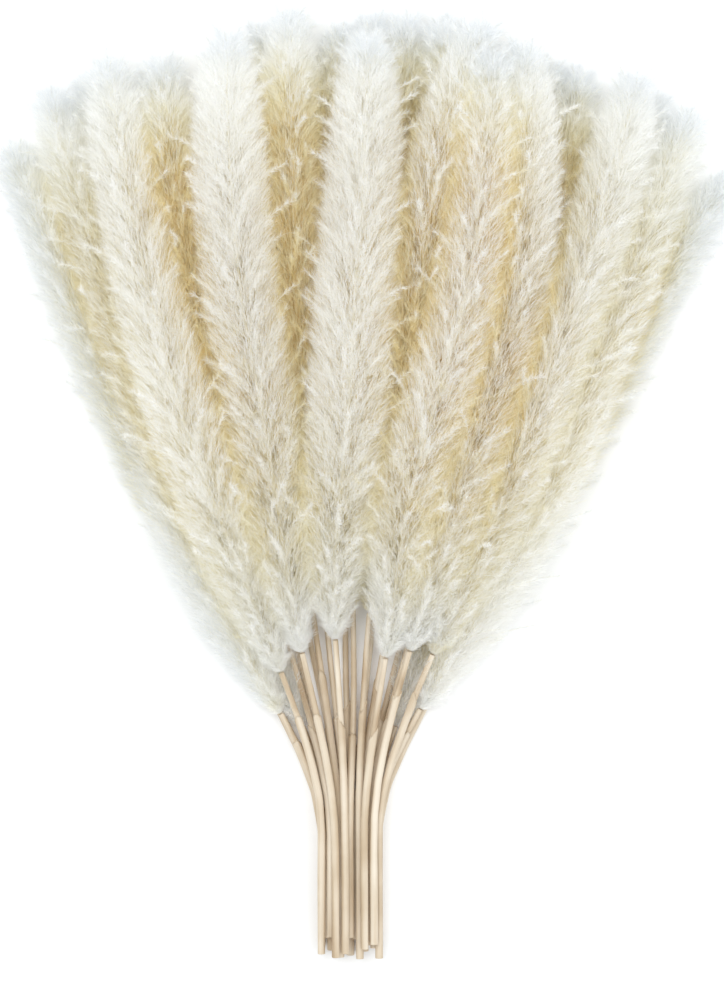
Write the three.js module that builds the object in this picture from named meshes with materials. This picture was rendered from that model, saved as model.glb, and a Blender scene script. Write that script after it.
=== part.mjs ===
// A bundle of cut, dried pampas grass lying on a table.
// Each stalk is a reed stem that carries one feathery plume. The stems lie closest together at
// the waist of the bundle and fan out from there, so the plumes spread into a low mound.
// Units are millimetres, +Z is up and the table is Z = 0. The stalks run along Y, plumes towards +Y,
// and the origin is under the middle of the bundle.
import * as THREE from "three";

// ---- driving dimensions -------------------------------------------------------------------
const WAIST_WIDTH = 29; // width of the heap of stems at the waist
const WAIST_HOLD = 6; // the heap keeps that width from the cut ends to this far above the waist
const WAIST_ROW_RISE = 3.9; // height between two rows of stems at the waist
const CUT_LENGTH = 62; // from the waist down to the cut ends
const CUT_STAGGER = 5; // how far the cut ends are out of line, each way
const FLARE_START = 12; // distance above the waist at which the stems begin to fan out
const FLARE_BEND = 13; // length over which they bend into the fan
const FAN_LEVEL = 200; // distance above the waist at which LAYERS states each stalk's place
const FAN_HALF_WIDTH = 107; // half the width of the fan at that level
const EVEN_UP_TO = 70; // distance above the waist up to which the stems are evenly spread
const LAYER_RISE = 17; // height between two layers of plumes
const CLIMB_LENGTH = 150; // distance above the waist at which a stalk has reached its layer

const CULM_RADIUS = 1.4; // bare stem under the plume
const SHEATH_RADIUS = 1.85; // stem wrapped in its leaf sheath
const PLUME_RADIUS = 10.5; // dense part of a plume at its fullest
const PLUME_FLATTENED = 1.2; // how deep a plume on the table is pressed flat
const STEM_FLATTENED = 0.15; // how deep a stem on the table is pressed into its flat side
const FOOT_GAP = 0.35; // between the top of a stem and the foot of its plume
const CLEAR = 0.5; // clear space the settling leaves between two stalks
const SHEATH_EDGE = 0.004; // share of a stem's length over which it steps from sheath to bare stem
const LOBE_ROWS = 3; // rows of shallow lobes round a plume
const LOBE_TWIST = 11; // how far they wind round it from foot to tip, in radians
const LOBE_DEPTH = 0.13; // depth of the hollows between them, as a share of the radius
const LOBES_FULL_AT = 0.2; // share of a plume's length at which they reach that depth

const STEM_SIDES = 8;
const STEM_RINGS = 9;
const PLUME_SIDES = 12;
const PLUME_RINGS = 11;
const LEAST_RING_GAP = 0.03; // between the sheath's edge and the next ring, as a share of the length

// ---- the stalks ---------------------------------------------------------------------------
// One row a stalk: [sideways place at FAN_LEVEL, sideways place of the tip, distance from the waist
// to the tip, distance from the waist to the foot of the plume, where its leaf sheath ends, girth of
// the plume as a share of PLUME_RADIUS].
// The first layer lies on the table and the last one is on top.
const LAYERS = [
  [
    [-104, -145, 289, 98, 62, 0.84],
    [-77, -114, 318, 41, 30, 0.95],
    [-50, -86, 323, 92, 44, 0.92],
    [-24, -38, 340, 100, 38, 0.92],
    [6, 12, 344, 96, 50, 0.92],
    [30, 47, 342, 102, 35, 0.92],
    [56, 88, 324, 94, 46, 0.92],
    [85, 131, 312, 41, 31, 0.95],
    [108, 158, 275, 101, 65, 0.84],
  ],
  [
    [-86, -128, 313, 47, 33, 0.94],
    [-58, -77, 326, 88, 40, 0.92],
    [-12, -2, 339, 104, 47, 0.95],
    [10, 22, 344, 94, 36, 0.95],
    [34, 36, 341, 90, 60, 0.95],
    [70, 97, 321, 90, 43, 0.92],
    [99, 145, 304, 49, 35, 0.94],
  ],
  [
    [-70, -103, 327, 66, 45, 0.98],
    [-20, -26, 347, 96, 62, 0.95],
    [25, 61, 342, 92, 51, 0.97],
    [86, 122, 320, 74, 54, 0.98],
  ],
  [
    [-41, -52, 337, 75, 46, 1.04],
    [4, 8, 336, 81, 44, 1.04],
    [42, 54, 328, 73, 39, 1.0],
    [60, 72, 332, 76, 57, 1.03],
  ],
];

// ---- laying the stalks down ---------------------------------------------------------------
// The stalks are followed through planes across the bundle. In each plane they sink until they
// rest on the table or on each other, and neighbours push each other apart.
const PLANE_STEP = 6;
const SETTLING_ROUNDS = 420;
const LAST_ROUNDS = 60; // rounds at the end in which nothing sinks or springs back any more
const FIRST_SAG = 0.12;
const FIRST_SPRING = 0.012;
const STRAIGHTEN = 0.33;
const FARTHEST_TIP = Math.max(...LAYERS.flat().map(([, , tip]) => tip));

const smooth = THREE.MathUtils.smoothstep;
const lerp = THREE.MathUtils.lerp;

// Plume radius from its foot (0) to its tip (1): a narrow foot, a long full body and a blunt tip.
const PLUME_PROFILE = [
  [0, 0.14],
  [0.05, 0.34],
  [0.13, 0.6],
  [0.24, 0.82],
  [0.38, 0.97],
  [0.5, 1],
  [0.66, 0.96],
  [0.8, 0.85],
  [0.9, 0.67],
  [0.96, 0.44],
  [1, 0],
];

function plumeRadius(t, girth) {
  const next = PLUME_PROFILE.findIndex(([at]) => at >= t);
  if (next <= 0) return PLUME_RADIUS * girth * PLUME_PROFILE[0][1];
  const [t0, r0] = PLUME_PROFILE[next - 1];
  const [t1, r1] = PLUME_PROFILE[next];
  return PLUME_RADIUS * girth * lerp(r0, r1, (t - t0) / (t1 - t0));
}

// A small offset that differs from stalk to stalk, between -1 and 1.
const scatter = (number, salt) => Math.sin(number * 12.9898 + salt * 78.233);

// How far a stalk has fanned out at a distance above the waist, 1 at FAN_LEVEL.
function fanned(y) {
  const reach = (d) => FLARE_BEND * Math.log(1 + Math.exp((d - FLARE_START) / FLARE_BEND));
  return reach(y) / reach(FAN_LEVEL);
}

function layOut() {
  const stalks = [];
  LAYERS.forEach((rows, layer) => {
    for (const [place, tipPlace, tip, foot, sheathEnd, girth] of rows) {
      const number = stalks.length + 1;
      const cut = -CUT_LENGTH + CUT_STAGGER * (1 + scatter(number, 1));
      stalks.push({ number, layer, place, tipPlace, tip, foot, sheathEnd, girth, cut });
    }
  });
  // Low down, the stems stand evenly side by side in the order of their places.
  const order = [...stalks].sort((a, b) => a.place - b.place);
  for (const stalk of stalks) {
    stalk.planes = [];
    const turn = (2 * order.indexOf(stalk)) / (stalks.length - 1) - 1;
    const waistX = turn * (WAIST_WIDTH / 2 - SHEATH_RADIUS);
    // Every other stem starts higher, so that a crowded row at the waist makes way upwards.
    const waistZ = SHEATH_RADIUS * (1 + (stalk.number % 2)) + stalk.layer * WAIST_ROW_RISE;
    const layerZ = PLUME_RADIUS + stalk.layer * LAYER_RISE;
    const count = Math.ceil((stalk.tip - stalk.cut) / PLANE_STEP);
    for (let i = 0; i <= count; i++) {
      const y = lerp(stalk.cut, stalk.tip, i / count);
      // Beyond FAN_LEVEL the line turns gently towards the stated place of the tip.
      const place = lerp(turn * FAN_HALF_WIDTH, stalk.place, smooth(y, EVEN_UP_TO, FAN_LEVEL));
      const straight = lerp(waistX, place, fanned(y));
      const straightTip = lerp(waistX, stalk.place, fanned(stalk.tip));
      const past = Math.max(0, (y - FAN_LEVEL) / (stalk.tip - FAN_LEVEL)) ** 2;
      const x = straight + past * (stalk.tipPlace - straightTip);
      const z = lerp(waistZ, layerZ, smooth(y, 0, CLIMB_LENGTH));
      const t = (y - stalk.foot) / (stalk.tip - stalk.foot);
      const radius = t < 0 ? SHEATH_RADIUS : Math.max(SHEATH_RADIUS, plumeRadius(t, stalk.girth));
      stalk.planes.push({ x, z, y, radius, wantedX: x, plume: t >= 0 });
    }
  }
  return stalks;
}

// A stalk's place where it crosses the plane at y, or null where it doesn't reach that far.
function crossing(stalk, y) {
  const along = ((y - stalk.cut) / (stalk.tip - stalk.cut)) * (stalk.planes.length - 1);
  if (along < 0 || along > stalk.planes.length - 1) return null;
  const i = Math.min(Math.floor(along), stalk.planes.length - 2);
  return { below: stalk.planes[i], above: stalk.planes[i + 1], part: along - i };
}

const between = (place, key) => lerp(place.below[key], place.above[key], place.part);

function shove(place, dx, dz) {
  place.below.x += dx * (1 - place.part);
  place.above.x += dx * place.part;
  place.below.z += dz * (1 - place.part);
  place.above.z += dz * place.part;
}

// Pushes every two neighbours apart that are nearer than their radii allow.
function pushApart(stalks) {
  for (let y = -CUT_LENGTH; y < FARTHEST_TIP; y += PLANE_STEP) {
    const here = stalks.map((stalk) => crossing(stalk, y)).filter(Boolean);
    const found = here.map((place) => {
      const run = place.above.y - place.below.y;
      const slopeX = THREE.MathUtils.clamp((place.above.x - place.below.x) / run, -1, 1);
      const slopeZ = THREE.MathUtils.clamp((place.above.z - place.below.z) / run, -1, 1);
      return {
        place,
        x: between(place, "x"),
        z: between(place, "z"),
        radius: Math.max(place.below.radius, place.above.radius),
        cosX: 1 / Math.hypot(1, slopeX),
        cosZ: 1 / Math.hypot(1, slopeZ),
      };
    });
    for (let i = 0; i < found.length; i++)
      for (let j = i + 1; j < found.length; j++) {
        const a = found[i];
        const b = found[j];
        const dx = (b.x - a.x) * Math.min(a.cosX, b.cosX);
        const dz = (b.z - a.z) * Math.min(a.cosZ, b.cosZ);
        const apart = Math.hypot(dx, dz) || 1e-6;
        const missing = a.radius + b.radius + CLEAR - apart;
        if (missing <= 0) continue;
        const push = (0.5 * missing) / apart;
        shove(a.place, -dx * push, -dz * push);
        shove(b.place, dx * push, dz * push);
        a.x -= dx * push;
        a.z -= dz * push;
        b.x += dx * push;
        b.z += dz * push;
      }
  }
}

function keepInPlace(stalks) {
  const reach = WAIST_WIDTH / 2 - SHEATH_RADIUS;
  for (const { planes } of stalks)
    for (const p of planes) {
      const pressed = p.plume ? PLUME_FLATTENED : 0;
      p.z = Math.max(p.z, SHEATH_RADIUS - STEM_FLATTENED, p.radius - pressed);
      if (p.y < WAIST_HOLD) p.x = THREE.MathUtils.clamp(p.x, -reach, reach);
    }
}

// One round: each stalk sags and straightens a little, then neighbours part again.
function settleOnce(stalks, sag, springBack, straighten) {
  for (const { planes } of stalks) {
    const shift = planes.map((p) => p.x - p.wantedX);
    const height = planes.map((p) => p.z);
    planes.forEach((p, i) => {
      const before = Math.max(0, i - 1);
      const after = Math.min(planes.length - 1, i + 1);
      const evenShift = (shift[before] + shift[after]) / 2;
      const evenHeight = (height[before] + height[after]) / 2;
      p.x += straighten * (evenShift - shift[i]) - springBack * shift[i];
      p.z += straighten * (evenHeight - height[i]) - sag;
    });
  }
  pushApart(stalks);
  keepInPlace(stalks);
}

function settle(stalks) {
  for (let round = 0; round < SETTLING_ROUNDS; round++) {
    const left = 1 - round / SETTLING_ROUNDS;
    settleOnce(stalks, FIRST_SAG * left, FIRST_SPRING * left, STRAIGHTEN);
  }
  for (let round = 0; round < LAST_ROUNDS; round++) settleOnce(stalks, 0, 0, STRAIGHTEN / 3);
}

// ---- the solids ---------------------------------------------------------------------------
// Bends a solid of revolution about Y so that its axis follows a curve. Its height runs 0 to 1.
function bendAlong(geometry, curve, fromY, toY) {
  const places = geometry.getAttribute("position");
  const vertex = new THREE.Vector3();
  const up = new THREE.Vector3(0, 0, 1);
  for (let i = 0; i < places.count; i++) {
    vertex.fromBufferAttribute(places, i);
    const y = lerp(fromY, toY, vertex.y);
    const middle = curve.at(y);
    const forward = curve.at(y + 1).sub(curve.at(y - 1)).normalize();
    const side = new THREE.Vector3().crossVectors(forward, up).normalize();
    const above = new THREE.Vector3().crossVectors(side, forward);
    middle.addScaledVector(side, vertex.x).addScaledVector(above, vertex.z);
    places.setXYZ(i, middle.x, middle.y, Math.max(0, middle.z));
  }
  geometry.computeVertexNormals();
  return geometry;
}

// The line down the middle of a stalk, as a smooth curve that is read by its distance along Y.
function middleLine(stalk) {
  const points = stalk.planes.map((p) => new THREE.Vector3(p.x, p.y, p.z));
  const spline = new THREE.CatmullRomCurve3(points);
  const at = (y) => spline.getPoint(THREE.MathUtils.inverseLerp(stalk.cut, stalk.tip, y));
  return {
    at: (y) => {
      if (y < stalk.cut) return at(stalk.cut).multiplyScalar(2).sub(at(2 * stalk.cut - y));
      if (y > stalk.tip) return at(stalk.tip).multiplyScalar(2).sub(at(2 * stalk.tip - y));
      return at(y);
    },
  };
}

function lathe(profile, sides) {
  const points = profile.map(([height, radius]) => new THREE.Vector2(radius, height));
  return new THREE.LatheGeometry(points, sides, Math.PI / sides);
}

// A reed stem: the leaf sheath wraps it up to sheathEnd, and the bare culm goes on to the plume.
function stemGeometry(stalk, curve) {
  const top = stalk.foot - FOOT_GAP;
  const stepHeight = (stalk.sheathEnd - stalk.cut) / (top - stalk.cut);
  const profile = [[0, 0]];
  for (let i = 0; i <= STEM_RINGS; i++) {
    const height = i / STEM_RINGS;
    if (height < stepHeight) profile.push([height, SHEATH_RADIUS]);
  }
  profile.push([stepHeight, SHEATH_RADIUS], [stepHeight + SHEATH_EDGE, CULM_RADIUS]);
  for (let i = 1; i <= STEM_RINGS; i++) {
    const height = i / STEM_RINGS;
    if (height > stepHeight + LEAST_RING_GAP) profile.push([height, CULM_RADIUS]);
  }
  profile.push([1, 0]);
  return bendAlong(lathe(profile, STEM_SIDES), curve, stalk.cut, top);
}

// The dense body of a plume. Its tufts make shallow lobes that wind round it.
function plumeGeometry(stalk, curve) {
  const profile = [[0, 0]];
  for (let i = 0; i < PLUME_RINGS; i++) {
    // Rings lie closer together at the foot and at the tip.
    const t = 0.5 - 0.5 * Math.cos((Math.PI * i) / PLUME_RINGS);
    profile.push([t, plumeRadius(t, stalk.girth)]);
  }
  profile.push([1, 0]);
  const geometry = lathe(profile, PLUME_SIDES);
  const places = geometry.getAttribute("position");
  for (let i = 0; i < places.count; i++) {
    const [x, t, z] = [places.getX(i), places.getY(i), places.getZ(i)];
    const round = Math.atan2(z, x);
    const lobe = 0.5 + 0.5 * Math.sin(LOBE_ROWS * round + LOBE_TWIST * t + stalk.number);
    const full = 1 - LOBE_DEPTH * lobe * smooth(t, 0, LOBES_FULL_AT);
    places.setXYZ(i, x * full, t, z * full);
  }
  return bendAlong(geometry, curve, stalk.foot, stalk.tip);
}

// ---- the bundle ---------------------------------------------------------------------------
const straw = new THREE.MeshStandardMaterial({ color: 0xd9c2a0, roughness: 0.6, metalness: 0 });
const fluff = new THREE.MeshStandardMaterial({ color: 0xf3ecd8, roughness: 0.95, metalness: 0 });

function named(kind, number, geometry, material) {
  const mesh = new THREE.Mesh(geometry, material);
  mesh.name = `${kind}_${String(number).padStart(2, "0")}`;
  return mesh;
}

const stalks = layOut();
settle(stalks);

const bundle = new THREE.Group();
for (const stalk of stalks) {
  const curve = middleLine(stalk);
  bundle.add(named("stem", stalk.number, stemGeometry(stalk, curve), straw));
  bundle.add(named("plume", stalk.number, plumeGeometry(stalk, curve), fluff));
}

// The origin goes to the table under the middle of the bundle's box.
const box = new THREE.Box3().setFromObject(bundle);
const middle = box.getCenter(new THREE.Vector3());
bundle.position.set(-middle.x, -middle.y, -box.min.z);

export default new THREE.Group().add(bundle);
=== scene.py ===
"""The looks of a bundle of dried pampas grass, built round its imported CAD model.

Every piece is laid along the middle line of the CAD node that it replaces, so nothing about the
layout is repeated here. All lengths are in metres.
"""
import math
from dataclasses import dataclass

import bpy
import numpy as np
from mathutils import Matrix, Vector


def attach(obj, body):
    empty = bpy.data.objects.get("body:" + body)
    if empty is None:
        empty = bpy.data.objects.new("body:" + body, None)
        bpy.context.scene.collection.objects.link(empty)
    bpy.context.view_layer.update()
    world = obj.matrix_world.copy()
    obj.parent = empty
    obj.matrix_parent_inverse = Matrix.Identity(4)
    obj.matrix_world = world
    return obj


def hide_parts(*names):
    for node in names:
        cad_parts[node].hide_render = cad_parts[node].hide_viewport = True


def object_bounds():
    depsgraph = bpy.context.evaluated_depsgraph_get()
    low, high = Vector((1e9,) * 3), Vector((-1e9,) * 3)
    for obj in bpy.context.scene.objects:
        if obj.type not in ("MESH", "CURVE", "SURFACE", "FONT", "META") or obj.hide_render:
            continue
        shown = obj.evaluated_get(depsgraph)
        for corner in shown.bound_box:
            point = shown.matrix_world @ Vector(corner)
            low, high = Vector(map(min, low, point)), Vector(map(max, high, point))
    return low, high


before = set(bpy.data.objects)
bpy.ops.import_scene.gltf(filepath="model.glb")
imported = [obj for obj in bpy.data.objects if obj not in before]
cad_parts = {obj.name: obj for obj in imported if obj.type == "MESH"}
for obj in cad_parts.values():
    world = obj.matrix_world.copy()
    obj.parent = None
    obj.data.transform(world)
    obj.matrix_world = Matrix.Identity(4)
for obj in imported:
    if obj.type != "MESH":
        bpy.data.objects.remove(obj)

cad_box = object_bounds()
CAD_LOW = np.array(cad_box[0], float)
CAD_HIGH = np.array(cad_box[1], float)

MM = 0.001
TAU = 2 * math.pi
GOLDEN_ANGLE = math.pi * (3 - math.sqrt(5))

# ---- plumes -------------------------------------------------------------------------------
PLUME_SEED = 5200
BRANCHLETS = 250  # on one plume of full girth
BRANCHLET_POINTS = 7  # along the line of each
LOWEST_BRANCHLET = 31 * MM  # how far a branchlet at the foot reaches along the plume
HIGHEST_BRANCHLET = 13 * MM
BRANCHLET_REACH = (0.70, 0.36)  # least share of the outline it ends at, and the range above that
STRAYS = 52  # branchlets that stick out of a plume's outline
STRAY_REACH = (1.14, 1.42)  # least and greatest share of the outline that those end at
STRAY_HAIR_SHARE = 0.6  # they have fewer hairs
TWIG_RADIUS = (0.2 * MM, 0.06 * MM)  # of a branchlet, where it starts and where it ends
RACHIS_RADIUS = (0.95 * MM, 0.22 * MM)
RACHIS_REACH = 0.965  # of the plume's length
RACHIS_BELOW_FOOT = 0.3 * MM  # how far it goes down to meet its stem
DENSE_RADIUS = 10.5 * MM  # of the CAD solid of a plume of full girth
FLUFF_RADIUS = 22.0 * MM  # of its fluff, out to the ends of its branchlets
TIP_FLUFF = 8.0 * MM  # how far the fluff goes on past the end of the CAD solid
HAIR_WIDTH = 0.18 * MM
DOWN_HAIRS = 60000  # fine hair that fills a plume of full girth between its branchlets
DOWN_HAIR = 7.0 * MM


@dataclass
class Hair:
    """A kind of hair that grows on the branchlets."""

    count: int  # on one branchlet
    length: float
    varies: tuple  # least share of that length, and the range above it
    shrinks: float  # share of the length that is lost towards the branchlet's end
    spread: tuple  # least angle from the branchlet in radians, and the range above it
    first: float = 0.06  # where along the branchlet the hair begins
    thickness: float = 1.0  # times HAIR_WIDTH


SHORT_HAIR = Hair(185, 5.4 * MM, varies=(0.55, 0.6), shrinks=0.4, spread=(0.45, 0.7))
LONG_HAIR = Hair(42, 8.5 * MM, varies=(0.6, 0.5), shrinks=0.35, spread=(0.2, 0.4))
# Stiff hairs spread like a star round the ends of the stray branchlets.
STAR_HAIR = Hair(30, 3.0 * MM, (0.7, 0.5), 0.0, (0.5, 0.7), first=0.74, thickness=1.6)

# A plume's outline: its radius as a share of its greatest, towards its tip and away from its foot.
TIP_PLACE = [0, 0.5, 0.7, 0.84, 0.93, 0.98, 1.0]
TIP_SHARE = [1, 1, 0.97, 0.90, 0.76, 0.54, 0.3]
FOOT_DISTANCE = [0, 4 * MM, 10 * MM, 20 * MM, 36 * MM, 60 * MM]
FOOT_SHARE = [0.10, 0.22, 0.36, 0.56, 0.82, 1.0]
FOOT_STRETCH = {2: 0.75, 8: 0.9, 10: 0.85}  # by number: below 1, a plume is slimmer at its foot

# Hair stays within the model's box, and on the table.
PROUD = 9.0 * MM  # how far it may stand beyond the CAD box, on top of PROUD_SHARE
PROUD_SHARE = 0.025
FLOOR_PRESS = 3.0 * MM  # hair this near the table begins to lie flat on it
LEAST_HEIGHT = 0.2 * MM

# ---- tones: 0 is deep straw, 1 is white ---------------------------------------------------
INNER_TONE = 0.76  # of hair near the rachis, in the open
OUTER_GAIN = 0.22  # how much whiter hair is at the plume's surface: partly the plume's own tone, partly painted shade deeper in the fluff
FOOT_LOSS = 0.05
HAIR_SPREAD = 0.05  # from hair to hair
BRANCHLET_SPREAD = 0.05
PLUME_SPREAD = 0.03
STRAY_GAIN = 0.1
PAINTED_RIM_TONE = 1.02  # just past the whitest tone, where the ramp gives a painted cool, greyish blue rim light
PAINTED_RIM_SHARE = 0.55  # of the hairs on the bundle's rim have that painted tone
FULL_PAINTED_SHADE = 0.75  # painted shade: how much deeper, towards straw, the tone is where no light reaches
LESS_PAINTED_SHADE_AT_TIP = 0.5
LESS_PAINTED_SHADE_AT_FOOT = 0.34
LESS_PAINTED_SHADE_AT_SIDES = 0.45  # as a share
PAINTED_SIDE_SHADE = 0.16  # painted shade: the outermost plumes are made creamier
SKY_ANGLES = np.radians([-65, -40, -15, 15, 40, 65])  # directions in which light reaches the bundle
SEE_THROUGH = 11 * MM  # depth of fluff that lets about a third of the light pass
SHADING_REACH = 0.98  # how wide a plume shades, as a share of its fluff
DARK_SKY = 0.44  # share of the light from above at which the painted shade is full
SKY_RANGE = 0.42  # above that, over which it fades to none

# Where tones lie across U. The rachis and the twigs take what is below HAIR_U.
HAIR_U = 0.12  # tone 0
HAIR_U_RANGE = 0.86  # from tone 0 to tone 1
HALF_HAIR_U = 0.006  # half the width of a hair

# ---- stems --------------------------------------------------------------------------------
STEM_SEED = 900
STEM_SIDES = 24
STEM_STEP = 1.6 * MM  # from ring to ring
CULM_IN_SHEATH = 12 * MM  # how far down the culm is drawn inside its sheath
JOINT_SWELL = 0.10 * MM
JOINT_HEIGHT = 0.9 * MM
SHEATH_INSET = 0.06 * MM  # keeps the sheath's ribs inside its CAD solid
SHEATH_OVERLAP = 0.16 * MM  # step where the rolled leaf base laps over itself
SHEATH_OPENING = 0.12 * MM  # how much the sheath opens out at its top
OPENING_HEIGHT = 9 * MM
TOP_FOLD = 0.25 * MM  # how far the sheath's torn edge turns in and down
TOP_RINGS = (1.06, 0.96)  # radii of that fold, as shares of the culm's
# The cut end, as (share of the radius, depth): the cane's rim, then a soft recessed pith.
CUT_RINGS = [
    (1.0, 0.0),
    (0.93, -0.05 * MM),
    (0.66, -0.02 * MM),
    (0.6, 0.5 * MM),
    (0.34, 0.62 * MM),
    (0.05, 0.7 * MM),
]
LOWEST_POINT = 0.03 * MM

# Where the colours of a stem lie across U. Each stem has a strip of its own.
SHEATH_U = 0.02
CULM_U = 0.52
PITH_U = 0.985
STRIPS_RANGE = 0.34
STRIP_WIDTH = 0.12

NO_QUADS = np.zeros((0, 4), int)
NO_TRIS = np.zeros((0, 3), int)


def smoothstep(x):
    x = np.clip(x, 0, 1)
    return x * x * (3 - 2 * x)


def unit(v):
    return v / np.maximum(np.linalg.norm(v, axis=-1, keepdims=True), 1e-12)


class MiddleLine:
    """The middle line of a CAD node, found by slicing its mesh across Y, with its radius."""

    def __init__(self, node, slices=60, inset=0.8 * MM):
        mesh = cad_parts[node].data
        mesh.calc_loop_triangles()
        co = np.zeros(len(mesh.vertices) * 3)
        mesh.vertices.foreach_get("co", co)
        co = co.reshape(-1, 3)
        tri = np.zeros(len(mesh.loop_triangles) * 3, np.int64)
        mesh.loop_triangles.foreach_get("vertices", tri)
        tri = tri.reshape(-1, 3)
        edges = np.concatenate([tri[:, [0, 1]], tri[:, [1, 2]], tri[:, [2, 0]]])
        a, b = co[edges[:, 0]], co[edges[:, 1]]
        low, high = co[:, 1].min(), co[:, 1].max()
        points, radii = [], []
        for y in np.linspace(low + inset, high - inset, slices):
            crosses = (a[:, 1] - y) * (b[:, 1] - y) < 0
            if crosses.sum() < 3:
                continue
            part = (y - a[crosses, 1]) / (b[crosses, 1] - a[crosses, 1])
            at = a[crosses] + part[:, None] * (b[crosses] - a[crosses])
            points.append((at.min(0) + at.max(0)) / 2)
            radii.append((at[:, 2].max() - at[:, 2].min()) / 2)
        points = np.array(points)
        # A slice cuts the very ends of a slanted solid obliquely, so those are drawn on straight.
        keep = 2
        start = points[keep] - (points[keep + 3] - points[keep]) / 3 * keep
        end = points[-keep - 1] + (points[-keep - 1] - points[-keep - 4]) / 3 * keep
        points = np.concatenate([[start], points[keep:-keep], [end]])
        radii = np.array(radii)
        radii = np.concatenate([[radii[0]], radii[keep:-keep], [radii[-1]]])
        step = np.linalg.norm(np.diff(points, axis=0), axis=1)
        self.along = np.concatenate([[0], np.cumsum(step)])
        self.length = self.along[-1]
        self.points = points
        self.radii = radii
        # The slices are smoothed a little, because the solid has flat facets.
        for _ in range(3):
            inner = (self.points[:-2] + 2 * self.points[1:-1] + self.points[2:]) / 4
            self.points[1:-1] = inner

    def at(self, distance):
        d = np.asarray(distance, float)
        inside = np.clip(d, 0, self.length)
        place = np.stack([np.interp(inside, self.along, self.points[:, k]) for k in range(3)], -1)
        beyond = (d - inside)[..., None]
        return place + beyond * self.direction(inside)

    def direction(self, distance):
        d = np.clip(np.asarray(distance, float), 0, self.length)
        h = 3 * MM
        lo, hi = np.clip(d - h, 0, self.length), np.clip(d + h, 0, self.length)
        a = np.stack([np.interp(lo, self.along, self.points[:, k]) for k in range(3)], -1)
        b = np.stack([np.interp(hi, self.along, self.points[:, k]) for k in range(3)], -1)
        return unit(b - a)

    def sideways(self, distance):
        """Two unit vectors across the line: one level, one upward."""
        forward = self.direction(distance)
        level = unit(np.cross(forward, np.array([0.0, 0.0, 1.0])))
        return level, np.cross(level, forward)


def add_mesh(name, parts, material):
    """Makes one object from parts. Each has vertices, quads, triangles and a UV for each vertex."""
    starts = np.cumsum([0] + [len(verts) for verts, quads, tris, uv in parts])
    verts = np.concatenate([part[0] for part in parts])
    quads = np.concatenate([part[1] + start for part, start in zip(parts, starts)])
    tris = np.concatenate([part[2] + start for part, start in zip(parts, starts)])
    uv = np.concatenate([part[3] for part in parts])
    loops = np.concatenate([quads.ravel(), tris.ravel()])
    sizes = np.concatenate([np.full(len(quads), 4), np.full(len(tris), 3)])
    mesh = bpy.data.meshes.new(name)
    mesh.vertices.add(len(verts))
    mesh.vertices.foreach_set("co", verts.astype(np.float32).ravel())
    mesh.loops.add(len(loops))
    mesh.loops.foreach_set("vertex_index", loops.astype(np.int32))
    mesh.polygons.add(len(sizes))
    mesh.polygons.foreach_set("loop_start", (np.cumsum(sizes) - sizes).astype(np.int32))
    mesh.polygons.foreach_set("use_smooth", np.full(len(sizes), True))
    layer = mesh.uv_layers.new(name="OFBake")
    layer.data.foreach_set("uv", uv[loops].astype(np.float32).ravel())
    mesh.update(calc_edges=True)
    mesh.validate()
    obj = bpy.data.objects.new(name, mesh)
    bpy.context.scene.collection.objects.link(obj)
    mesh.materials.append(material)
    return obj


def loft(rings, uv):
    """Joins each ring of points to the next one, as a part for add_mesh."""
    index = np.arange(rings[..., 0].size).reshape(rings.shape[:-1])
    following = np.roll(index, -1, axis=-1)
    corners = [index[..., :-1, :], following[..., :-1, :], following[..., 1:, :], index[..., 1:, :]]
    quads = np.stack(corners, -1).reshape(-1, 4)
    return rings.reshape(-1, 3), quads, NO_TRIS, uv.reshape(-1, 2)


def keep_in_bounds(points):
    """Hair lies flat where it meets the table, and bends back where it would leave the box."""
    z = points[:, 2]
    far_up = 30  # times FLOOR_PRESS, where the table no longer matters
    pressed = FLOOR_PRESS * np.log1p(np.exp(np.clip(z / FLOOR_PRESS, -far_up, far_up)))
    points[:, 2] = np.maximum(np.where(z < far_up * FLOOR_PRESS, pressed, z), LEAST_HEIGHT)
    room = PROUD_SHARE * (CAD_HIGH - CAD_LOW) + PROUD
    for k in range(3):
        soft = 0.5 * room[k]
        over = points[:, k] - (CAD_HIGH[k] + room[k] - soft)
        points[:, k] -= np.where(over > 0, over - soft * np.tanh(over / soft), 0)
        if k < 2:
            under = (CAD_LOW[k] - room[k] + soft) - points[:, k]
            points[:, k] += np.where(under > 0, under - soft * np.tanh(under / soft), 0)
    return points


def outline(t, line):
    """Radius of a plume's fluff, as a share of its greatest, from its foot (0) to its tip (1)."""
    to_tip = np.interp(t, TIP_PLACE, TIP_SHARE)
    from_foot = np.interp(t * line.length * line.foot_stretch, FOOT_DISTANCE, FOOT_SHARE)
    return np.minimum(to_tip, from_foot)


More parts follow.
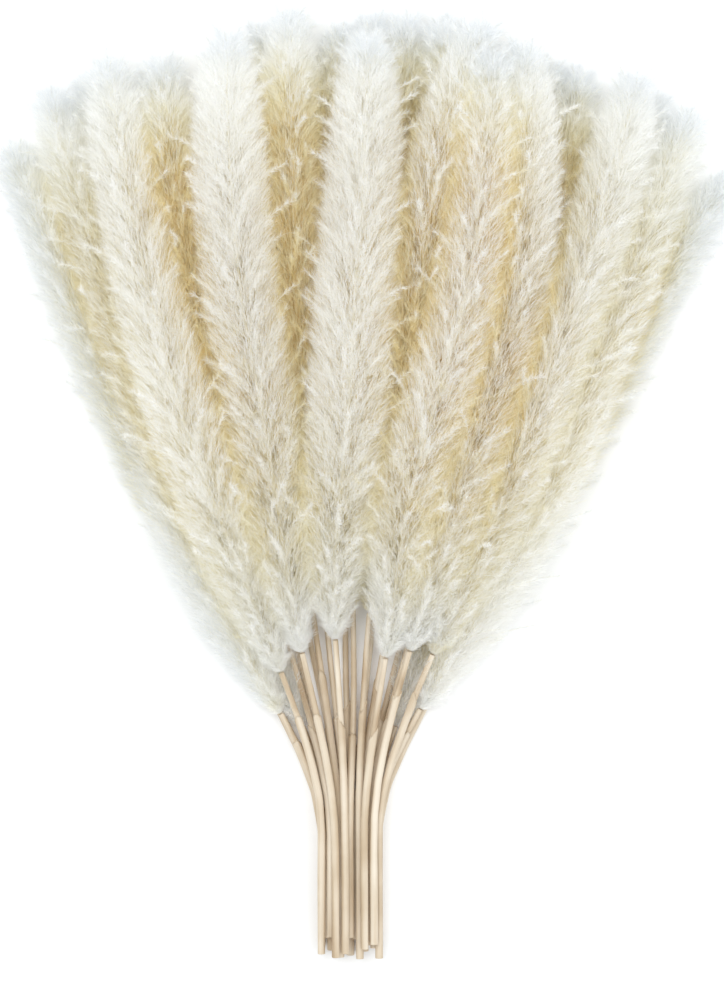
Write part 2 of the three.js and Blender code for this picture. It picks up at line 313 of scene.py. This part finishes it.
def branchlets(line, girth, rng):
    """The branchlets of one plume: points along each, and how far out each point is."""
    count = int(BRANCHLETS * (0.6 + 0.4 * girth))
    k = np.arange(count)
    # They end all along the plume, from just above its foot to its tip.
    end_t = 0.03 + 0.97 * (k + 0.5) / count
    turn = GOLDEN_ANGLE * k + rng.normal(0, 0.3, count)
    length = LOWEST_BRANCHLET + (HIGHEST_BRANCHLET - LOWEST_BRANCHLET) * end_t
    length = length * rng.uniform(0.75, 1.2, count)
    reach = BRANCHLET_REACH[0] + BRANCHLET_REACH[1] * rng.beta(2.5, 1.4, count)
    stray = rng.choice(count, STRAYS, replace=False)
    stray = stray[(end_t[stray] < 0.93) & (end_t[stray] > 0.1)]
    reach[stray] = rng.uniform(*STRAY_REACH, len(stray))
    end_radius = outline(end_t, line) * FLUFF_RADIUS * girth * reach
    end_at = end_t * (line.length + TIP_FLUFF) + rng.normal(0, 1.5 * MM, count) * (end_t < 0.96)
    start_at = np.maximum(end_at - length, rng.uniform(0, 3 * MM, count))
    # Each leaves the rachis at a narrow angle and bows outwards.
    s = np.linspace(0, 1, BRANCHLET_POINTS)
    along = start_at[:, None] + (end_at - start_at)[:, None] * s
    away = end_radius[:, None] * (0.6 * s + 0.4 * s ** 2)
    swing = turn[:, None] + rng.normal(0, 0.2, count)[:, None] * s ** 2
    level, upward = line.sideways(along)
    points = line.at(along)
    points = points + level * (away * np.cos(swing))[..., None]
    points = points + upward * (away * np.sin(swing))[..., None]
    is_stray = np.zeros(count, bool)
    is_stray[stray] = True
    depth = away / (np.maximum(outline(along / line.length, line), 0.3) * FLUFF_RADIUS * girth)
    return points, depth, end_t, is_stray


def hairs_on(points, has_fewer, hair, rng):
    """Hairs along branchlets: which branchlet, where on it, root, heading and length of each."""
    count, n, _ = points.shape
    per = np.where(has_fewer, int(hair.count * STRAY_HAIR_SHARE), hair.count)
    owner = np.repeat(np.arange(count), per)
    total = len(owner)
    s = hair.first + (1 - hair.first) * rng.random(total) ** 0.8
    at = s * (n - 1)
    i = np.minimum(at.astype(int), n - 2)
    part = (at - i)[:, None]
    a, b = points[owner, i], points[owner, i + 1]
    root = a + (b - a) * part
    forward = unit(b - a)
    random = rng.normal(0, 1, (total, 3))
    across = unit(random - forward * (random * forward).sum(1, keepdims=True))
    spread = hair.spread[0] + hair.spread[1] * rng.random(total)
    heading = forward * np.cos(spread)[:, None] + across * np.sin(spread)[:, None]
    length = hair.length * (hair.varies[0] + hair.varies[1] * rng.random(total))
    return owner, s, root, heading, length * (1 - hair.shrinks * s)


def down_hairs(line, girth, rng):
    """The soft fur between branchlets: root, heading, length, depth and place of each hair."""
    total = int(DOWN_HAIRS * girth)
    # There is more of it where the plume is wide.
    t = rng.random(total * 2)
    t = t[rng.random(total * 2) < np.clip(outline(t, line) + 0.15, 0, 1)][:total]
    total = len(t)
    turn = rng.uniform(0, TAU, total)
    share = 0.30 + 0.62 * rng.random(total) ** 0.6  # how far out it grows
    level, upward = line.sideways(t * line.length)
    outward = level * np.cos(turn)[:, None] + upward * np.sin(turn)[:, None]
    root_at = np.maximum(t * (line.length + TIP_FLUFF) - 0.6 * DOWN_HAIR, 0)
    away = share * outline(root_at / line.length, line) * FLUFF_RADIUS * girth
    root = line.at(root_at) + outward * (away * 0.86)[:, None]
    angle = 0.30 + 0.42 * share + rng.normal(0, 0.16, total)  # from the plume's own direction
    forward = line.direction(root_at)
    astray = rng.normal(0, 0.22, (total, 3))
    heading = unit(forward * np.cos(angle)[:, None] + outward * np.sin(angle)[:, None] + astray)
    length = DOWN_HAIR * rng.uniform(0.6, 1.1, total) * (0.7 + 0.3 * outline(t, line))
    return root, heading, length, share, t


def hair_uv(tone, heights, sides):
    """Tone runs across U, and V runs from root to tip. Each hair has a little width in U."""
    u = HAIR_U + HAIR_U_RANGE * np.clip(tone, 0, PAINTED_RIM_TONE)
    corners = [(u + side * HALF_HAIR_U, np.full(len(u), v)) for v, side in zip(heights, sides)]
    return np.array(corners).transpose(2, 0, 1).reshape(-1, 2)


def hair_sides(heading, rng, thickness=1.0):
    """Half the width of each hair, as a vector across it."""
    across = unit(np.cross(heading, rng.normal(0, 1, heading.shape)))
    width = thickness * HAIR_WIDTH * rng.uniform(0.7, 1.25, len(heading))
    return across * (0.5 * width)[:, None]


def short_fur(root, heading, length, tone, rng, thickness=1.0):
    """Straight hairs, one narrow triangle each."""
    side = hair_sides(heading, rng, thickness)
    end = keep_in_bounds(root + heading * length[:, None])
    root = keep_in_bounds(root.copy())
    verts = np.stack([root - side, root + side, end], axis=1)
    tris = np.arange(len(root) * 3).reshape(-1, 3)
    uv = hair_uv(tone, (0.03, 0.03, 0.97), (-1, 1, 0))
    return verts.reshape(-1, 3), NO_QUADS, tris, uv


def long_fur(root, heading, length, tone, rng):
    """Curved hairs: a narrow four-sided face and a triangle each."""
    side = hair_sides(heading, rng)
    slim = 0.84 * side
    curl = unit(rng.normal(0, 1, heading.shape)) * (0.12 * length)[:, None]
    middle = keep_in_bounds(root + heading * (0.5 * length)[:, None] + curl)
    end = keep_in_bounds(root + heading * length[:, None])
    root = keep_in_bounds(root.copy())
    verts = np.stack([root - side, root + side, middle + slim, middle - slim, end], axis=1)
    base = (np.arange(len(root)) * 5)[:, None]
    quads = base + np.array([[0, 1, 2, 3]])
    tris = base + np.array([[3, 2, 4]])
    uv = hair_uv(tone, (0.03, 0.03, 0.5, 0.5, 0.97), (-1, 1, 1, -1, 0))
    return verts.reshape(-1, 3), quads, tris, uv


def thin_tubes(points, radii, sides=3):
    """Tubes along many lines at once that taper from the first radius to the second."""
    count, n, _ = points.shape
    forward = unit(np.gradient(points, axis=1))
    # Not quite straight up, so that hardly any tube is parallel to it.
    level = unit(np.cross(forward, np.array([0.03, 0.02, 1.0])))
    upward = np.cross(level, forward)
    angle = np.arange(sides) * TAU / sides
    radius = radii[0] + (radii[1] - radii[0]) * np.linspace(0, 1, n)
    ring = level[:, :, None] * np.cos(angle)[:, None] + upward[:, :, None] * np.sin(angle)[:, None]
    uv = np.zeros((count, n, sides, 2))
    uv[..., 0] = 0.05 * np.abs(np.linspace(-1, 1, sides))
    uv[..., 1] = np.linspace(0.02, 0.98, n)[None, :, None]
    return loft(points[:, :, None] + ring * radius[None, :, None, None], uv)


NUMBERS = sorted(int(name[5:]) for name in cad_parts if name.startswith("stem_"))
PLUME_LINES = {number: MiddleLine(f"plume_{number:02d}") for number in NUMBERS}
for number, line in PLUME_LINES.items():
    line.foot_stretch = FOOT_STRETCH.get(number, 1.0)


# Half the width of the bundle at places along Y, between the middle lines of its outermost plumes.
LEFT_TIP_X = PLUME_LINES[NUMBERS[0]].points[-1, 0]
RIGHT_TIP_X = max(line.points[-1, 0] for line in PLUME_LINES.values())
MIDDLE_X = 0.5 * (LEFT_TIP_X + RIGHT_TIP_X)
LEAST_EDGE = 20 * MM
EDGE_AT = np.linspace(CAD_LOW[1], CAD_HIGH[1], 50)
OUT_FROM_MIDDLE = [
    np.abs(line.at(EDGE_AT - line.points[0, 1])[:, 0] - MIDDLE_X) for line in PLUME_LINES.values()
]
EDGE_HALF_WIDTH = np.maximum(np.max(OUT_FROM_MIDDLE, axis=0), LEAST_EDGE)


def girth_of(line):
    return float(line.radii.max() / DENSE_RADIUS) ** 1.5


def sky_seen(points, own_number):
    """The share of the light from above that reaches points past the other plumes, 1 in the open."""
    y = points[:, 1]
    sections = []
    for number, line in PLUME_LINES.items():
        if number == own_number:
            continue
        at = line.points[:, 1]
        crossed = (y > at[0]) & (y < at[-1])
        if not crossed.any():
            continue
        share = outline((y - at[0]) / (at[-1] - at[0]), line)
        reach = SHADING_REACH * share * FLUFF_RADIUS * girth_of(line)
        side = np.interp(y, at, line.points[:, 0]) - points[:, 0]
        rise = np.interp(y, at, line.points[:, 2]) - points[:, 2]
        sections.append((side, rise, np.where(crossed, reach, 0)))
    seen = np.zeros(len(points))
    for angle in SKY_ANGLES:
        through = np.zeros(len(points))
        for side, rise, reach in sections:
            ahead = side * math.sin(angle) + rise * math.cos(angle)
            off = side * math.cos(angle) - rise * math.sin(angle)
            half = np.sqrt(np.maximum(reach ** 2 - off ** 2, 0))
            through += np.maximum(ahead + half, 0) - np.maximum(ahead - half, 0)
        seen += np.exp(-through / SEE_THROUGH) / len(SKY_ANGLES)
    return seen


def make_plume(number, material):
    node = f"plume_{number:02d}"
    line = PLUME_LINES[number]
    girth = girth_of(line)
    rng = np.random.default_rng(PLUME_SEED + number)
    lines, depth, end_t, is_stray = branchlets(line, girth, rng)
    plume_tone = rng.normal(0, PLUME_SPREAD)
    own_tone = rng.normal(0, BRANCHLET_SPREAD, len(lines))

    def out_and_up(root):
        """How far out to the side hair grows, 1 at the outermost middle line, and how far up."""
        edge = np.interp(root[:, 1], EDGE_AT, EDGE_HALF_WIDTH)
        t = (root[:, 1] - line.points[0, 1]) / (line.points[-1, 1] - line.points[0, 1])
        return np.abs(root[:, 0] - MIDDLE_X) / edge, t

    def shade(root):
        """Painted shade: hair that little light from above reaches is given a straw-golden tone,
        less so at the tip, the foot and the sides, and the outermost plumes are made creamier.
        """
        outer, t = out_and_up(root)
        at_tip = smoothstep((t - 0.78) / 0.22)
        at_foot = 1 - smoothstep(t / 0.5)
        # straw is how much painted shade, towards a straw-golden tone, each hair gets
        straw = FULL_PAINTED_SHADE - LESS_PAINTED_SHADE_AT_TIP * at_tip - LESS_PAINTED_SHADE_AT_FOOT * at_foot
        straw = straw * (1 - LESS_PAINTED_SHADE_AT_SIDES * smoothstep((outer - 0.62) / 0.25))
        straw = straw * (1 - smoothstep((sky_seen(root, number) - DARK_SKY) / SKY_RANGE))
        return -straw - PAINTED_SIDE_SHADE * smoothstep((outer - 0.78) / 0.2)

    def with_painted_rim_light(tone, root):
        """Painted cool rim light: some hairs on the rim of the bundle take a greyish blue-white."""
        outer, t = out_and_up(root)
        rim = np.maximum(smoothstep((outer - 1.0) / 0.07), smoothstep((t - 0.93) / 0.07))
        return np.where(rng.random(len(tone)) < PAINTED_RIM_SHARE * rim, PAINTED_RIM_TONE, np.clip(tone, 0, 1))

    def hair_tones(owner, s, root):
        """Tones of hairs that grow on the branchlets."""
        at = s * (BRANCHLET_POINTS - 1)
        i = np.minimum(at.astype(int), BRANCHLET_POINTS - 2)
        deep = depth[owner, i] + (depth[owner, i + 1] - depth[owner, i]) * (at - i)
        # Creamier deep in the fluff: partly the plume's own tone, partly painted shade of the fluff
        # over it.
        tone = INNER_TONE + OUTER_GAIN * smoothstep((deep - 0.1) / 0.65)
        tone = tone - FOOT_LOSS * (1 - smoothstep(end_t[owner] / 0.4))
        tone = tone + own_tone[owner] + plume_tone
        tone = tone + STRAY_GAIN * is_stray[owner] + shade(root)
        return with_painted_rim_light(tone + rng.normal(0, HAIR_SPREAD, len(s)), root)

    owner, s, root, heading, length = hairs_on(lines, is_stray, SHORT_HAIR, rng)
    short = short_fur(root, heading, length, hair_tones(owner, s, root), rng)

    owner, s, root, heading, length = hairs_on(lines, is_stray, LONG_HAIR, rng)
    long = long_fur(root, heading, length, hair_tones(owner, s, root), rng)

    root, heading, length, share, t = down_hairs(line, girth, rng)
    # Creamier deep in the fluff: partly the plume's own tone, partly painted shade of the fluff over
    # it.
    tone = INNER_TONE + OUTER_GAIN * smoothstep((share - 0.2) / 0.6)
    tone = tone - FOOT_LOSS * (1 - smoothstep(t / 0.4)) + plume_tone
    tone = with_painted_rim_light(tone + shade(root) + rng.normal(0, HAIR_SPREAD, len(t)), root)
    down = short_fur(root, heading, length, tone, rng)

    # Every stray branchlet has the full number of these.
    stray_lines = lines[is_stray]
    has_fewer = np.zeros(len(stray_lines), bool)
    owner, s, root, heading, length = hairs_on(stray_lines, has_fewer, STAR_HAIR, rng)
    # White, with part of the painted shade; on the rim they take the painted rim light.
    tone = with_painted_rim_light(1.0 + 0.6 * shade(root), root)
    star = short_fur(root, heading, length, tone, rng, STAR_HAIR.thickness)

    twigs = thin_tubes(keep_in_bounds(lines.reshape(-1, 3)).reshape(lines.shape), TWIG_RADIUS)
    rachis = line.at(np.linspace(-RACHIS_BELOW_FOOT, line.length * RACHIS_REACH, 40))[None]
    spine = thin_tubes(rachis, RACHIS_RADIUS, sides=8)
    piece = add_mesh(f"Plume_{number:02d}", [short, down, star, long, twigs, spine], material)
    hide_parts(node)
    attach(piece, "root")


def make_stem(number, material):
    node = f"stem_{number:02d}"
    line = MiddleLine(node, slices=90)
    rng = np.random.default_rng(STEM_SEED + number)
    # The sheath ends where the CAD solid steps down to the bare culm.
    culm = np.median(line.radii[-12:])
    sheath = np.median(line.radii[4:16])
    wrapped = np.where(line.radii > (culm + sheath) / 2)[0]
    sheath_end = line.along[wrapped[-1]] if len(wrapped) else 0.4 * line.length
    turn = rng.uniform(0, TAU)
    theta = np.arange(STEM_SIDES) * TAU / STEM_SIDES
    strip = STRIPS_RANGE * ((number * 0.618) % 1)

    def ring(middle, sideways, radius):
        level, upward = sideways
        across = level * (radius * np.cos(theta))[..., None]
        return middle + across + upward * (radius * np.sin(theta))[..., None]

    def tube(starts, ends, radius_at):
        """Rings from one end to the other, and how far along each is. Either end may be uneven."""
        share = np.linspace(0, 1, max(4, int((ends.max() - starts.min()) / STEM_STEP)))
        d = starts + (ends - starts) * share[:, None]
        return ring(line.at(d), line.sideways(d), radius_at(d)), share

    def strip_uv(first_u, v):
        u = first_u + strip + STRIP_WIDTH * np.arange(STEM_SIDES) / STEM_SIDES
        return np.stack(np.broadcast_arrays(u, np.asarray(v)[:, None]), -1)

    # Bare culm, from inside the sheath to the foot of the plume.
    bare = line.length - sheath_end
    joint_at = sheath_end + rng.uniform(0.35, 0.6) * bare

    def culm_radius(d):
        joint = JOINT_SWELL * np.exp(-(((d - joint_at) / JOINT_HEIGHT) ** 2))
        taper = 1.0 - 0.10 * np.clip((d - sheath_end) / bare, 0, 1)
        flute = 1 + 0.018 * np.sin(5 * theta + number) + 0.012 * np.sin(9 * theta - number)
        return culm * taper * flute + joint

    culm_start = np.full(STEM_SIDES, max(0.0, sheath_end - CULM_IN_SHEATH))
    culm_end = np.full(STEM_SIDES, line.length)
    culm_rings, share = tube(culm_start, culm_end, culm_radius)
    parts = [loft(culm_rings, strip_uv(CULM_U, 0.02 + 0.96 * share))]

    # The sheath is a rolled leaf base: it overlaps itself, and its top is torn off at a slant.
    slant = rng.uniform(1.5, 4.5) * MM
    ragged = rng.normal(0, 0.35 * MM, STEM_SIDES)
    sheath_stop = sheath_end + slant * np.cos(theta - turn) + ragged

    def sheath_radius(d):
        wrap = ((theta - turn) % TAU) / TAU
        overlap = SHEATH_OVERLAP * (0.5 - wrap)
        opening = SHEATH_OPENING * smoothstep((d - sheath_end + OPENING_HEIGHT) / OPENING_HEIGHT)
        ribs = 1 + 0.012 * np.sin(11 * theta + 2 * number)
        wave = 1 + 0.02 * np.sin(d / (9 * MM) + number)
        return (sheath - SHEATH_INSET) * ribs * wave + overlap + opening

    sheath_rings, share = tube(np.zeros(STEM_SIDES), sheath_stop, sheath_radius)
    folded_at = line.at(sheath_stop - TOP_FOLD)
    fold = [ring(folded_at, line.sideways(sheath_stop), culm * radius) for radius in TOP_RINGS]
    v = np.concatenate([0.02 + 0.96 * share, [0.99, 0.99]])
    parts.append(loft(np.concatenate([sheath_rings, fold]), strip_uv(SHEATH_U, v)))

    # The cut end begins on the sheath's first ring, turned round so that its faces look outwards.
    rim = sheath_rings[0, ::-1]
    shares, depths = np.array(CUT_RINGS).T[:, :, None, None]
    cut_rings = rim.mean(0) + (rim - rim.mean(0)) * shares + line.direction(0.0) * depths
    cut_uv = np.stack([np.full(cut_rings.shape[:2], PITH_U), shares[..., 0] + 0 * theta], -1)
    parts.append(loft(cut_rings, cut_uv))

    for verts, *_ in parts:
        verts[:, 2] = np.maximum(verts[:, 2], LOWEST_POINT)
    piece = add_mesh(f"Stem_{number:02d}", parts, material)
    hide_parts(node)
    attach(piece, "root")


# ---- materials ----------------------------------------------------------------------------
# Hair, from straw to white, after a short stretch for the rachis and the twigs. The straw-golden
# stops are reached through painted shade.
FLUFF_COLOURS = [
    (0.0, (0.96, 0.93, 0.82)),
    (0.08, (0.97, 0.94, 0.84)),
    (0.12, (0.90, 0.77, 0.46)),
    (0.30, (0.958, 0.897, 0.68)),
    (0.52, (0.978, 0.955, 0.845)),
    (0.74, (0.993, 0.9925, 0.981)),
    (0.985, (0.998, 0.999, 0.999)),
    # Painted cool rim light: a greyish blue-white for hairs on the bundle's rim.
    (0.991, (0.92, 0.935, 0.955)),
]
# Hair is a little darker near its root.
ROOT_TO_TIP = [(0.0, (0.99, 0.985, 0.97)), (0.45, (1, 1, 1)), (1.0, (1, 1, 1))]
THROUGH_HAIR = 0.68  # share of the light that hair lets through
STRAW_COLOURS = [
    (0.5, (0.40, 0.28, 0.17)),
    (0.66, (0.57, 0.45, 0.31)),
    (0.78, (0.68, 0.57, 0.43)),
    (0.95, (0.80, 0.71, 0.58)),
]
TABLE_COLOURS = [(0.0, (0.93, 0.93, 0.93)), (1.0, (0.95, 0.95, 0.95))]


def new_material(name):
    material = bpy.data.materials.new(name)
    material.use_nodes = True
    tree = material.node_tree
    return material, tree, tree.nodes["Principled BSDF"]


def set_inputs(tree, node, inputs):
    """Gives inputs of a node, by name or number, a value or a link from another node's output."""
    for name, value in inputs.items():
        if isinstance(value, bpy.types.NodeSocket):
            tree.links.new(value, node.inputs[name])
        else:
            node.inputs[name].default_value = value


def add_node(tree, kind, inputs, **settings):
    """A shader node. Its settings come first, because some of them decide which inputs it has."""
    node = tree.nodes.new("ShaderNode" + kind)
    for name, value in settings.items():
        setattr(node, name, value)
    set_inputs(tree, node, inputs)
    return node


def add_ramp(tree, value, stops):
    node = add_node(tree, "ValToRGB", {"Fac": value})
    elements = node.color_ramp.elements
    while len(elements) > 1:
        elements.remove(elements[-1])
    elements[0].position, elements[0].color = stops[0][0], (*stops[0][1], 1)
    for position, colour in stops[1:]:
        elements.new(position).color = (*colour, 1)
    return node.outputs["Color"]


def add_noise(tree, place, scale, detail):
    return add_node(
        tree, "TexNoise", {"Scale": scale, "Detail": detail, "Vector": place}
    ).outputs["Fac"]


def stretched(tree, place, scale):
    return add_node(tree, "Mapping", {"Scale": scale, "Vector": place}).outputs["Vector"]


def fluff_material():
    material, tree, shader = new_material("fluff")
    uv = add_node(tree, "UVMap", {}, uv_map="OFBake").outputs["UV"]
    split = add_node(tree, "SeparateXYZ", {"Vector": uv})
    tone = add_ramp(tree, split.outputs["X"], FLUFF_COLOURS)
    darkening = add_ramp(tree, split.outputs["Y"], ROOT_TO_TIP)
    both = {"Factor": 1.0, "A": tone, "B": darkening}
    mix = add_node(tree, "Mix", both, data_type="RGBA", blend_type="MULTIPLY")
    colour = mix.outputs["Result"]
    surface = {"Base Color": colour, "Roughness": 0.75, "Specular IOR Level": 0.25}
    set_inputs(tree, shader, surface)
    through = add_node(tree, "BsdfTranslucent", {"Color": colour})
    ways = {0: THROUGH_HAIR, 1: shader.outputs["BSDF"], 2: through.outputs["BSDF"]}
    blend = add_node(tree, "MixShader", ways)
    set_inputs(tree, tree.nodes["Material Output"], {"Surface": blend.outputs["Shader"]})
    return material


def straw_material():
    material, tree, shader = new_material("straw")
    uv = add_node(tree, "UVMap", {}, uv_map="OFBake").outputs["UV"]
    place = add_node(tree, "TexCoord", {}).outputs["Object"]
    # Fibres run along the stem. Patches and each stem's own tone are broader.
    fibres = add_noise(tree, stretched(tree, uv, (130.0, 2.2, 1.0)), 2.2, 4.0)
    patches = add_noise(tree, place, 55.0, 3.0)
    own_tone = add_noise(tree, stretched(tree, uv, (16.0, 1.2, 1.0)), 1.0, 1.0)
    broad = add_node(
        tree, "Math", {0: own_tone, 1: 2.6, 2: patches}, operation="MULTIPLY_ADD"
    ).outputs["Value"]
    fine = add_node(tree, "Math", {0: fibres, 1: 0.24}, operation="MULTIPLY").outputs["Value"]
    tone = add_node(
        tree, "Math", {0: broad, 1: 0.36, 2: fine}, operation="MULTIPLY_ADD"
    ).outputs["Value"]
    bump = add_node(tree, "Bump", {"Strength": 0.35, "Distance": 0.12 * MM, "Height": fibres})
    surface = {
        "Base Color": add_ramp(tree, tone, STRAW_COLOURS),
        "Normal": bump.outputs["Normal"],
        "Roughness": 0.5,
        "Specular IOR Level": 0.4,
    }
    set_inputs(tree, shader, surface)
    return material


def table_material():
    material, tree, shader = new_material("table")
    place = add_node(tree, "TexCoord", {}).outputs["Object"]
    grain = add_node(tree, "TexNoise", {"Scale": 3.0, "Vector": place}).outputs["Fac"]
    tint = add_ramp(tree, grain, TABLE_COLOURS)
    set_inputs(tree, shader, {"Base Color": tint, "Roughness": 0.9, "Specular IOR Level": 0.1})
    return material


fluff = fluff_material()
straw = straw_material()
for number in NUMBERS:
    make_stem(number, straw)
    make_plume(number, fluff)

# ---- table, light and camera --------------------------------------------------------------
TABLE_HALF = 4.0  # half of its side
LIGHT_COLOUR = (0.95, 0.98, 1.0)
SKY_COLOUR = (0.97, 0.99, 1.0, 1)
SKY_STRENGTH = 0.87

scene = bpy.context.scene
floor_mesh = bpy.data.meshes.new("Floor")
corners = [(x * TABLE_HALF, y * TABLE_HALF, 0) for x, y in ((-1, -1), (1, -1), (1, 1), (-1, 1))]
floor_mesh.from_pydata(corners, [], [(0, 1, 2, 3)])
floor = bpy.data.objects.new("Floor", floor_mesh)
scene.collection.objects.link(floor)
floor_mesh.materials.append(table_material())


def area_light(name, place, size, power):
    """A square light that points at the middle of the bundle."""
    data = bpy.data.lights.new(name, "AREA")
    data.shape = "SQUARE"
    data.size = size
    data.energy = power
    data.color = LIGHT_COLOUR
    light = bpy.data.objects.new(name, data)
    scene.collection.objects.link(light)
    light.location = place
    light.rotation_euler = (-Vector(place)).to_track_quat("-Z", "Y").to_euler()


area_light("Key", (-0.45, 0.5, 1.8), size=1.2, power=13.0)
area_light("Fill", (0.8, 0.2, 1.6), size=1.3, power=7.0)
world = bpy.data.worlds.new("World")
world.use_nodes = True
sky = world.node_tree.nodes["Background"]
sky.inputs["Color"].default_value = SKY_COLOUR
sky.inputs["Strength"].default_value = SKY_STRENGTH
scene.world = world
scene.view_settings.view_transform = "Standard"
# Light wanders far through white fluff, so it needs more bounces than usual.
scene.cycles.max_bounces = 20
scene.cycles.diffuse_bounces = 14
scene.cycles.transmission_bounces = 14

# The camera looks down on the bundle, the plumes towards the top of the picture.
DISTANCE = 1.7
TILT = math.radians(5.0)
FRAME_HEIGHT = 0.4187  # what the picture takes in at the height of the bundle's top
AIM = (-0.003, 0.0, 0.03)
camera_data = bpy.data.cameras.new("Camera")
camera_data.sensor_fit = "VERTICAL"
camera_data.sensor_height = 24.0
camera_data.lens = camera_data.sensor_height * (DISTANCE - AIM[2]) / FRAME_HEIGHT
camera = bpy.data.objects.new("Camera", camera_data)
scene.collection.objects.link(camera)
camera.location = (AIM[0], AIM[1] + math.sin(TILT) * DISTANCE, AIM[2] + math.cos(TILT) * DISTANCE)
camera.rotation_euler = (-TILT, 0.0, 0.0)
scene.camera = camera
